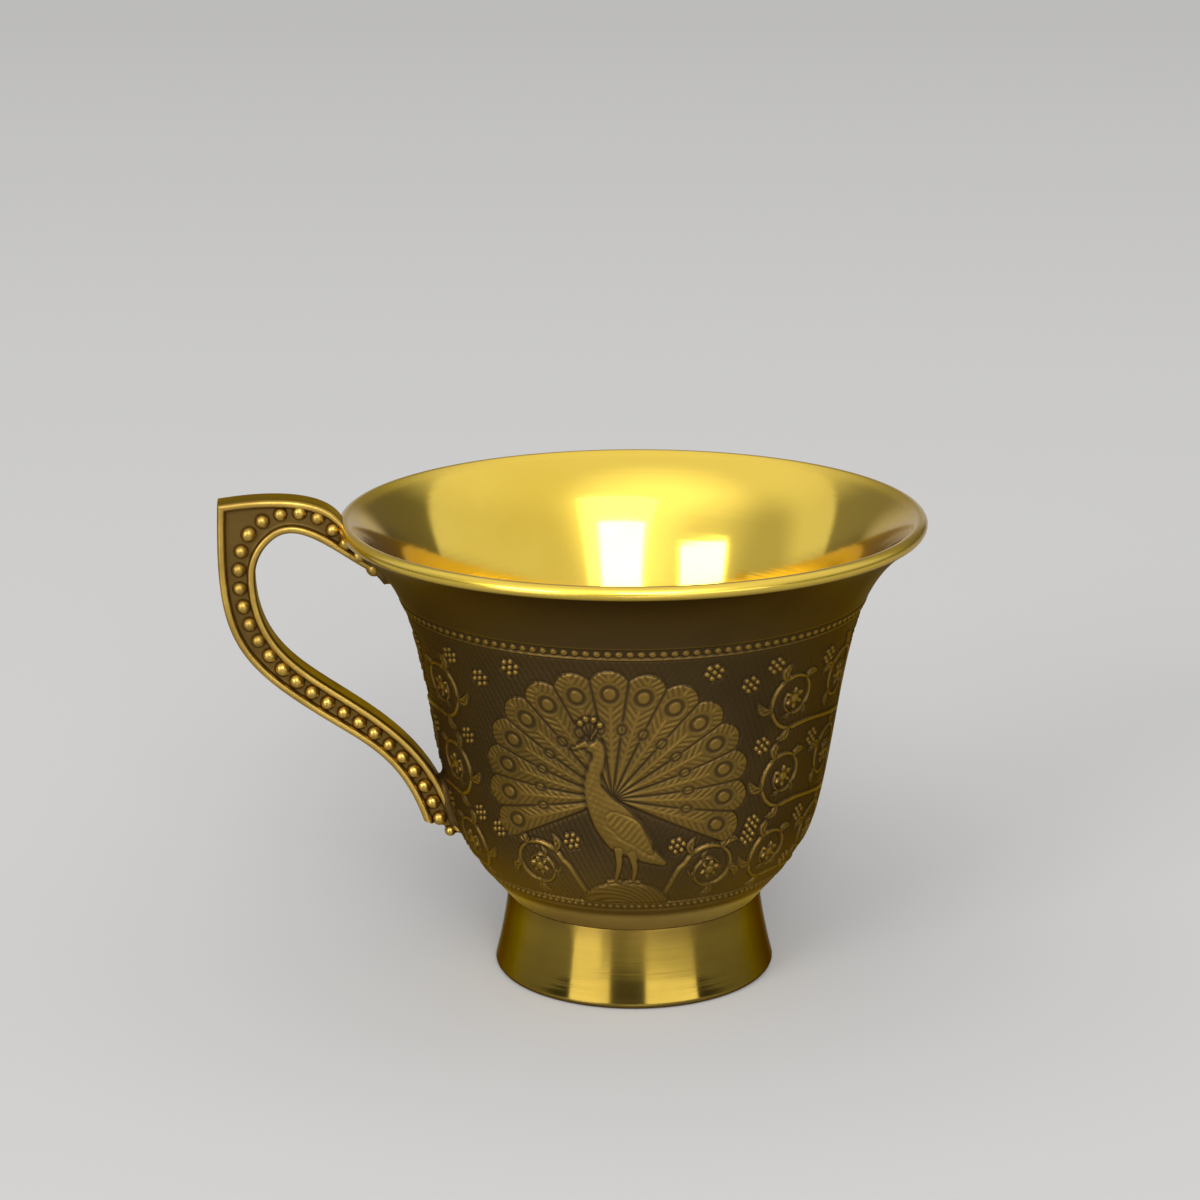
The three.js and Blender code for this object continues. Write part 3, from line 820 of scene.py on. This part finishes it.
def top_edge(start, end, steps):
    """Part of the cubic curve along the top, from the lip's middle to the thumb corner."""
    rise, run = np.array([42.0, ARCH_TOP]), np.array([50.4, ARCH_TOP + 0.56])
    return cubic(LIP_MIDDLE, rise, run, THUMB, np.linspace(start, end, steps)[:, None])


def into_arm(start, end, steps):
    """Curve from beside the head of the finger loop into the slanting arm."""
    return swept(start, -90, 9.0, end, ARM_HEADING, 7.5, steps)


def into_tail(start, end, steps):
    """Curve from the slanting arm into the steep tail."""
    return swept(start, ARM_HEADING, 8.0, end, TAIL_HEADING, 10.3, steps)


def one_edge(lines, toe):
    """Stretches of an edge, each resampled to its rulings, in one row without their shared ends, then the toe."""
    parts = [evenly(line, rulings) for line, rulings in zip(lines, RULINGS)] + [toe]
    return np.concatenate([part[min(k, 1):] for k, part in enumerate(parts)])


root_end = LOOP_HEAD + LOOP_RADIUS * heading(ROOT_ANGLE)
root_curve = swept(ROOT_LOW, ROOT_HEADING, 6.2, root_end, ROOT_ANGLE - 90, 5.3, 600)
root_split = int(np.argmin(np.abs(root_curve[:, 0] - LOOP_HEAD[0])))
side = swept(THUMB, SIDE_HEADING, 18.7, ARM_OUTER, ARM_HEADING, 15.0, 900)
side_split = int(np.argmin(np.abs(side[:, 1] - LOOP_HEAD[1])))
inner = one_edge([
    root_curve[: root_split + 1],
    np.concatenate([root_curve[root_split:], head_arc(LOOP_RADIUS, ROOT_ANGLE, HEAD_ANGLE, 20)[1:]]),
    head_arc(LOOP_RADIUS, HEAD_ANGLE, 0, 60),
    into_arm(LOOP_HEAD + (LOOP_RADIUS, 0), ARM_INNER, 300),
    into_tail(ARM_INNER, TAIL_INNER, 300),
], evenly(np.stack([TAIL_INNER, TOE]), TOE_RULINGS))
outer = one_edge([
    top_edge(0, TOP_SPLIT, 200),
    top_edge(TOP_SPLIT, 1, 200),
    side[: side_split + 1],
    side[side_split:],
    into_tail(ARM_OUTER, TAIL_CORNER, 300),
], np.repeat(TAIL_CORNER[None], TOE_RULINGS, 0))
print("handle edges", len(inner), "rulings, inner edge", round(lengths(inner)[-1], 1), "mm long")

# %% [markdown]
# Across the ribbon the section goes round once: up the inner edge, over its rail, down into the channel, along
# the channel's floor, over the outer rail, and back on the far side. The rail's width is measured square to the
# edge, so each ruling stretches it by the slant; at the thumb corner the two rails meet in a mitre, which is
# the larger of the two stretches.

# %% Handle body
HANDLE_HALF = 2.5
CHANNEL_HALF = 1.6
RAIL_SECTION = np.array([
    [0.00, 0.0], [0.00, 1.3], [0.00, 1.95], [0.05, 2.2], [0.16, 2.38], [0.35, 2.47], [0.6, 2.5], [0.82, 2.47],
    [0.97, 2.38], [1.07, 2.2], [1.12, 1.98], [1.16, 1.78], [1.24, 1.65], [1.4, 1.6]])
CHANNEL_STEPS = 12
LEAST_SLANT = 0.35

count = len(inner)
number = np.arange(count)
corner_at = sum(RULINGS[:2]) - 2
toe_at = count - TOE_RULINGS + 1
ruling = outer - inner
width = np.linalg.norm(ruling, axis=1)[:, None]
ruling /= width
rail_at = RAIL_SECTION[None, :, 0]


def rail_from(first, last, own):
    """Where the rail's section crosses each ruling, from one stretch of the outer edge or its line past the thumb."""
    normals = right_hand(outer[first:last])
    inward = normals[np.clip(number - first, 0, last - first - 1)]
    past = np.where(own, 0, ((outer - THUMB) * inward).sum(1))
    slant = np.clip(-(ruling * inward).sum(1), LEAST_SLANT, 1)
    return (rail_at - past[:, None]) / slant[:, None]


from_top = rail_from(0, corner_at + 1, number <= corner_at)
from_side = rail_from(corner_at, toe_at, number >= corner_at)
from_outer = np.maximum(np.maximum(from_top, from_side), 0)
from_inner = rail_at / np.clip(-(ruling * right_hand(inner)).sum(1), LEAST_SLANT, 1)[:, None]
floor_start, floor_stop = from_inner[:, -1:], width - from_outer[:, -1:]
share = np.linspace(0, 1, CHANNEL_STEPS + 2)[None, 1:-1]
channel_at = floor_start + share * (floor_stop - floor_start)
across = np.concatenate([from_inner, channel_at, width - from_outer[:, ::-1]], 1)
depth = np.concatenate([RAIL_SECTION[:, 1], np.full(CHANNEL_STEPS, CHANNEL_HALF), RAIL_SECTION[::-1, 1]])
across = np.concatenate([across, across[:, -2:0:-1]], 1)
depth = np.concatenate([-depth, depth[-2:0:-1]])
in_plane = inner[:, None] + across[..., None] * ruling[:, None]
handle_rings = np.stack([-in_plane[..., 0], np.broadcast_to(depth, across.shape), in_plane[..., 1]], -1)
handle = closed_skin("handle_ribbon", handle_rings[None], sharp=50)
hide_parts("handle")

# %% [markdown]
# The beads are cast with the handle: a row of small balls lies in the channel on each side, from beside the bowl
# under the lip, over the loop's head and down to the toe. Each ball is a sphere by two angles, a little longer
# or rounder than the next, with its poles along the row where its neighbours hide them.

# %% Beads
BEAD_RADIUS = 1.1
BEAD_PITCH = 2.72
ROOT_BEAD, BEAD_HEADING = np.array([37.1, 61.2]), 43.0
TOE_BEAD = np.array([27.0, 21.5])
TOE_BEAD_RADIUS = 0.85
BEAD_RINGS, BEAD_COLUMNS, POLE_CUT = 14, 20, 0.16
irregular = np.random.default_rng(7)

row_angles = np.linspace(90, 0, 60)
row_radius = LOOP_RADIUS + HANDLE_WIDTH / 2 + 0.8 * bell(row_angles - 48, 30)
row_head = head_arc(row_radius, 90, 0, 60)
row_arm = ARM_INNER + HANDLE_WIDTH / 2 * heading(ARM_HEADING + 90)
row_tail = TAIL_CORNER + HANDLE_WIDTH / 2 * heading(TAIL_HEADING - 90) + 0.5 * heading(TAIL_HEADING)
bead_row = np.concatenate([
    swept(ROOT_BEAD, BEAD_HEADING, 6.0, row_head[0], 0, 2.8, 80),
    row_head[1:],
    into_arm(row_head[-1], row_arm, 200)[1:],
    into_tail(row_arm, row_tail, 200)[1:],
])
bead_count = round(lengths(bead_row)[-1] / BEAD_PITCH) + 1
bead_at = evenly(bead_row, bead_count)
along_row = unit(np.gradient(bead_at, axis=0))
bead_at = np.concatenate([bead_at, TOE_BEAD[None]])
along_row = np.concatenate([along_row, along_row[-1:]])
bead_size = np.append(np.full(bead_count, BEAD_RADIUS), TOE_BEAD_RADIUS)

which_face = np.repeat([-1.0, 1.0], len(bead_at))[:, None, None]
centre = np.tile(bead_at, (2, 1))[..., None, None]
row_way = np.tile(along_row, (2, 1))[..., None, None]
shape = (len(centre), 1, 1)
girth = np.tile(bead_size, 2).reshape(shape) * irregular.uniform(0.95, 1.05, shape)
stretch = girth * irregular.uniform(0.94, 1.08, shape)
polar = np.linspace(POLE_CUT, math.pi - POLE_CUT, BEAD_RINGS)[None, :, None]
turn = np.linspace(0, 2 * math.pi, BEAD_COLUMNS, endpoint=False)[None, None]
lengthwise = stretch * np.cos(polar) + 0 * turn
sideways = girth * np.sin(polar) * np.cos(turn)
outwards = girth * np.sin(polar) * np.sin(turn)
radial = centre[:, 0] + lengthwise * row_way[:, 0] - sideways * row_way[:, 1]
level = centre[:, 1] + lengthwise * row_way[:, 1] + sideways * row_way[:, 0]
bead_rings = np.stack([-radial, which_face * CHANNEL_HALF + outwards, level], -1)
beads = closed_skin("handle_beads", bead_rings, sharp=80)

# %% [markdown]
# Braze holds the handle at two places. It runs out round each end of the handle as a hollow fillet: high against
# the casting, thinning to nothing on the wall. Each fillet is a ring of stadium outlines laid on the bowl's
# outside, wider and lower step by step, then tucked under the surface so that the body is closed.

# %% Braze fillets
FILLET = np.array([[-0.5, 1.0], [-0.05, 0.95], [0.06, 0.62], [0.18, 0.38], [0.34, 0.2], [0.52, 0.09],
                   [0.72, 0.03], [0.86, -0.02], [0.8, -0.2], [-0.4, -0.35]])


def fillet_rings(low_height, high_height):
    """Stadiums round the handle's footprint between two heights: half width 2.5 mm plus each step's spread."""
    low, high = np.interp([low_height, high_height], wall[:, 1], wall_along)
    turn = np.linspace(0, 2 * np.pi, 120, endpoint=False)
    spread = HANDLE_HALF + FILLET[:, :1]
    straight = (high - low) / 2 - HANDLE_HALF
    sideways = spread * np.cos(turn)
    along = (low + high) / 2 + straight * np.tanh(6 * np.sin(turn)) + spread * np.sin(turn)
    radius, height = on_wall(along, FILLET[:, 1:])
    return np.stack([-np.sqrt(radius ** 2 - sideways ** 2), sideways, height], -1)[None]


top_braze = closed_skin("braze_under_lip", fillet_rings(ROOT_HEIGHT - 0.5, 65.5), sharp=80)
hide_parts("handle_top_braze")
tail_braze = closed_skin("braze_at_tail", fillet_rings(TOE_HEIGHT - 0.3, TOE_HEIGHT + 8.4), sharp=80)
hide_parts("handle_tail_braze")

# %% [markdown]
# Spun brass that has been polished is nearly a mirror, but never quite even: it keeps faint rings from the
# lathe, and fingers leave soft clouds that dull it. The rings come from a one-way noise over height plus a
# share of the radius, so that they also run round the bowl's flat floor.

# %% Polished brass
FOOT_GOLD, DEEP_FOOT_GOLD = (0.30, 0.205, 0.034, 1), (0.24, 0.16, 0.025, 1)
# The second brown on the next line is painted shade for the hem, where the foot meets the floor; the first is the
# stain at the seam.
SEAM_BROWN, HEM_PAINTED_SHADE_BROWN = (0.12, 0.06, 0.02, 1), (0.12, 0.08, 0.03, 1)
EDGE_TINT, FOOT_EDGE_TINT = (0.7, 0.53, 0.14, 1), (0.4, 0.29, 0.09, 1)
RING_PITCH = 0.0011
BUMP_DEPTH = 0.0002


def new_finish(name, edge_tint=EDGE_TINT):
    """A metal with its tint at glancing angles, and the tone of a piece's own coordinates."""
    finish = bpy.data.materials.new(name)
    finish.use_nodes = True
    shader = finish.node_tree.nodes["Principled BSDF"]
    shader.inputs["Metallic"].default_value = 1.0
    shader.inputs["Specular Tint"].default_value = edge_tint
    return finish, Tone(finish.node_tree).node("ShaderNodeTexCoord", {}, {}, "Object")


def dress(pieces, finish, colour, roughness, height=None, strength=0.0):
    """Feeds a finish its tones, tilts its normals by the slope of a height, puts it on pieces; gives its shader."""
    shader = finish.node_tree.nodes["Principled BSDF"]
    feed(shader, colour, "Base Color")
    feed(shader, roughness, "Roughness")
    if height:
        sockets = {"Strength": strength, "Distance": BUMP_DEPTH, "Height": height}
        feed(shader, height.node("ShaderNodeBump", {}, sockets), "Normal")
    for piece in pieces:
        piece.data.materials.append(finish)
    print(finish.name, "on", [piece.name for piece in pieces], "with", len(finish.node_tree.nodes), "nodes")
    return shader


def clouds(place, scale, detail=4.0):
    """Soft noise from 0 to 1 over the piece's own coordinates."""
    return place.node("ShaderNodeTexNoise", {}, {"Vector": place, "Scale": scale, "Detail": detail})


def height_of(place):
    """Height above the table in metres."""
    return place.node("ShaderNodeSeparateXYZ", {}, {"Vector": place}, "Z")


def lathe_rings(place):
    """Fine noise that changes only along the turned profile: height plus six tenths of the radius."""
    flat = place.node("ShaderNodeVectorMath", {"operation": "MULTIPLY"}, {0: place, 1: (1, 1, 0)})
    ends = {0: flat, 1: (AXIS_X * MM, 0, 0)}
    radius = place.node("ShaderNodeVectorMath", {"operation": "DISTANCE"}, ends, "Value")
    along = (height_of(place) + radius * 0.6) / RING_PITCH
    return place.node("ShaderNodeTexNoise", {"noise_dimensions": "1D"}, {"W": along, "Scale": 1.0, "Detail": 3.0})


polished, place = new_finish("polished_brass", FOOT_EDGE_TINT)
touched = clouds(place, 55.0).between(0.42, 0.72)
seam_stain = height_of(place).between(0.0085, 0.0114)
# Painted shade: the hem, where the foot meets the floor, is mixed most of the way to a dark brown, and made rougher.
hem_with_painted_shade = 1 - height_of(place).between(0.0003, 0.0011)
colour = (seam_stain * 0.35).mix(touched.mix(FOOT_GOLD, DEEP_FOOT_GOLD), SEAM_BROWN)
colour = (hem_with_painted_shade * 0.85).mix(colour, HEM_PAINTED_SHADE_BROWN)
rough = 0.10 + 0.08 * touched + 0.1 * seam_stain + 0.3 * hem_with_painted_shade
dress([foot], polished, colour, rough, lathe_rings(place), 0.05)

# %% [markdown]
# The bowl has two finishes on one sheet. Inside it is polished like the foot. Outside, the etched ground keeps a
# dark patina, the brown that brass takes when it is treated and not rubbed back, while the raised figures were
# wiped brighter. The relief attribute gives the share of each, so the tone follows every line of the etching. Low
# on the band the ground is mixed a little towards the figures' tone, which is painted light for the light that the
# lower bowl catches. Deep in the bowl the gold is written paler: painted light, which stands in for the pale look
# of the deep lining, where light that bounces there again and again would otherwise take on a deep colour. A
# clear lacquer over the inside gives the white in its brightest spots.

# %% Etched brass
GOLD, DEEP_GOLD = (0.945, 0.667, 0.065, 1), (0.88, 0.6, 0.042, 1)
# The first gold on the next line is painted light: a paler gold for the deep lining.
PAINTED_LIGHT_LINING_GOLD, COLLAR_GOLD = (0.93, 0.76, 0.27, 1), (0.6, 0.46, 0.14, 1)
GROUND, DEEP_GROUND = (0.068, 0.043, 0.017, 1), (0.05, 0.033, 0.014, 1)
FIGURE, DEEP_FIGURE = (0.24, 0.145, 0.03, 1), (0.17, 0.104, 0.023, 1)
LACQUER_ROUGHNESS = 0.08


def put_there(place, name):
    """The number that put_values left on the points under a name."""
    return place.node("ShaderNodeAttribute", {"attribute_name": name}, {}, "Fac")


etched, place = new_finish("etched_brass")
patina, collar, relief = (put_there(place, name) for name in ("patina", "collar", "relief"))
touched = clouds(place, 48.0).between(0.4, 0.7)
height = height_of(place)
# Painted light: the lining is mixed towards a paler gold low in the bowl.
painted_light_deep_inside = 1 - height.between(0.028, 0.046)
bright = painted_light_deep_inside.mix(touched.mix(GOLD, DEEP_GOLD), PAINTED_LIGHT_LINING_GOLD)
bright = collar.mix(bright, COLLAR_GOLD)
raised_share = relief.between(-0.08, 0.12)
figure_tone = touched.mix(FIGURE, DEEP_FIGURE)
# Painted light: the ground is mixed towards the figures' tone low on the band, so it is lighter towards the bottom.
painted_light_low_band = 1 - height.between(0.015, 0.028)
ground_tone = (painted_light_low_band * 0.55).mix(touched.mix(GROUND, DEEP_GROUND), figure_tone)
colour = patina.mix(bright, raised_share.mix(ground_tone, figure_tone))
rubbed_edge = height.between(0.0666, 0.0676)
bright_rough = 0.10 + 0.08 * touched + 0.2 * rubbed_edge + 0.25 * collar
dulled = 0.46 - 0.14 * raised_share + 0.1 * touched
rough = bright_rough * (1 - patina) + dulled * patina
shader = dress([bowl, *panels], etched, colour, rough, lathe_rings(place), 0.04)
feed(shader, (1 - patina) * (1 - collar), "Coat Weight")
shader.inputs["Coat Roughness"].default_value = LACQUER_ROUGHNESS

# %% [markdown]
# Cast brass is duller than spun brass: it is filed and brushed, not polished on a lathe, and it keeps a fine
# grain. Hands keep the rails and the tops of the beads bright, and the brown stays in the channel. The recess
# attribute, worked out from the depth below the rails, mixes the two.

# %% Cast brass
RAIL_GOLD, DULL_RAIL_GOLD = (0.43, 0.28, 0.06, 1), (0.3, 0.19, 0.04, 1)
CHANNEL_BROWN = (0.12, 0.074, 0.02, 1)
RAIL_CREST, WIPED_RAIL, WIPED_BEAD = 0.6, 2.3, 1.95

from_edge = np.minimum(across, width - across)
in_channel = np.where(from_edge > RAIL_CREST, np.interp(np.abs(depth), [CHANNEL_HALF, WIPED_RAIL], [1, 0]), 0)
put_values(handle, "recess", in_channel.ravel())
between_beads = np.interp(np.abs(bead_rings[..., 1]), [CHANNEL_HALF, WIPED_BEAD], [1, 0])
put_values(beads, "recess", between_beads.ravel())

cast, place = new_finish("cast_brass")
recess = put_there(place, "recess")
worn = clouds(place, 140.0).between(0.35, 0.7)
colour = recess.mix(worn.mix(RAIL_GOLD, DULL_RAIL_GOLD), CHANNEL_BROWN)
dress([handle, beads], cast, colour, 0.3 + 0.12 * worn + 0.25 * recess, clouds(place, 900.0, 3.0), 0.25)

# %% [markdown]
# The joints are never polished. Braze is a brass with more zinc in it, which stays yellow-brown and dull, and soft
# solder is greyer. The braze is written a darker brown than its own: painted shade, as the fillets sit under the
# handle. Both get a cloudy tone and a rough surface, as metal has that was left as it set.

# %% Braze and solder
# Both braze browns hold painted shade: they are darker than the braze's own colour, as the fillets sit under the
# handle.
BRAZE_WITH_PAINTED_SHADE, DEEP_BRAZE_WITH_PAINTED_SHADE = (0.15, 0.095, 0.03, 1), (0.08, 0.05, 0.018, 1)
SOLDER, DEEP_SOLDER = (0.45, 0.40, 0.28, 1), (0.24, 0.19, 0.12, 1)

braze, place = new_finish("braze")
cloudy = clouds(place, 320.0).between(0.3, 0.7)
dress([top_braze, tail_braze], braze, cloudy.mix(BRAZE_WITH_PAINTED_SHADE, DEEP_BRAZE_WITH_PAINTED_SHADE), 0.5 + 0.15 * cloudy)
soft, place = new_finish("solder")
cloudy = clouds(place, 260.0).between(0.3, 0.7)
dress([solder], soft, cloudy.mix(SOLDER, DEEP_SOLDER), 0.35 + 0.2 * cloudy)
